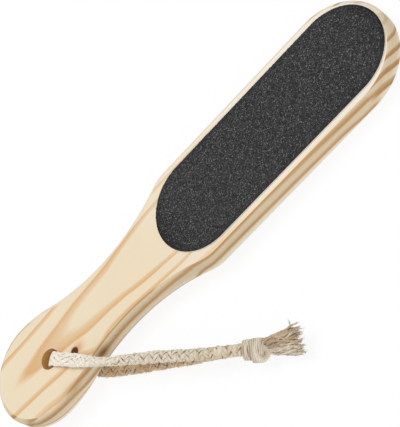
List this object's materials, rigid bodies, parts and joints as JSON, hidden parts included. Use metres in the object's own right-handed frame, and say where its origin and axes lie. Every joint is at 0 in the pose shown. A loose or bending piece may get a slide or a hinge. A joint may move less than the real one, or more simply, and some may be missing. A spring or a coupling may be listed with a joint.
{
  "type": "foot file",
  "caption": "Flat wooden paddle foot file with an abrasive sheet on each face and a knotted cord loop through its handle.",
  "frame": {"origin": "middle of the box round the board and its sheets", "axes": "+X along the board from the handle to the tip of the head, +Y across it, +Z out of the front face"},
  "size_m": [0.255, 0.1277, 0.0166],
  "materials": {
    "pine": "sanded bare pine",
    "adhesive": "thin clear film",
    "backing_paper": "matte",
    "coarse_grit": "coarse sanding grit",
    "fine_grit": "fine sanding grit",
    "cotton_cord": "flat cotton braid",
    "frayed_cotton": "loose cotton yarn"
  },
  "bodies": {
    "file": {"wooden_board": "pine", "front_adhesive": "adhesive", "front_backing_paper": "backing_paper", "front_coarse_grit": "coarse_grit", "back_adhesive": "adhesive", "back_backing_paper": "backing_paper", "back_fine_grit": "fine_grit"},
    "cord_loop": {"cord_front_leg": "cotton_cord", "cord_back_leg": "cotton_cord", "cord_knot": "cotton_cord", "cord_front_tail": "frayed_cotton", "cord_back_tail": "frayed_cotton"}
  },
  "joints": [
    {"name": "cord_swivel", "type": "hinge", "parent": "file", "child": "cord_loop", "pos_m": [-0.0935, -0.001, 0], "axis": [0, 0, 1], "range_deg": [-276, 17]}
  ]
}
